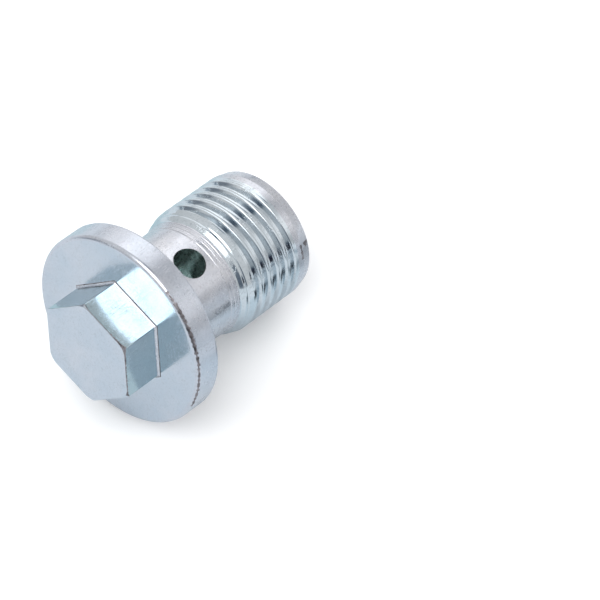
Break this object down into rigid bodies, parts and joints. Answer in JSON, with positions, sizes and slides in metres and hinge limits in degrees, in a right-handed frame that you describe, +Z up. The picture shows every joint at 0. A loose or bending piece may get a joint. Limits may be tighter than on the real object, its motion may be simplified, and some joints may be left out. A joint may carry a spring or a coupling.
{
  "type": "oil drain plug",
  "caption": "Steel drain plug with a hex head, a round sealing flange, a plain neck with a radial oil hole and a fine-threaded hollow shank.",
  "frame": {"origin": "on the ground the plug lies on, under the centre of its bounding box", "axes": "+X along the plug from head to thread end (the plug's own axis dips 11.45 degrees below +X, because it lies on the flange's rim and the thread's end), +Z up"},
  "size_m": [0.0314, 0.024, 0.0241],
  "materials": {
    "zinc": "bright zinc plate, clear to bluish, semi-gloss"
  },
  "bodies": {
    "root": {"drain_plug": "zinc"}
  },
  "joints": []
}
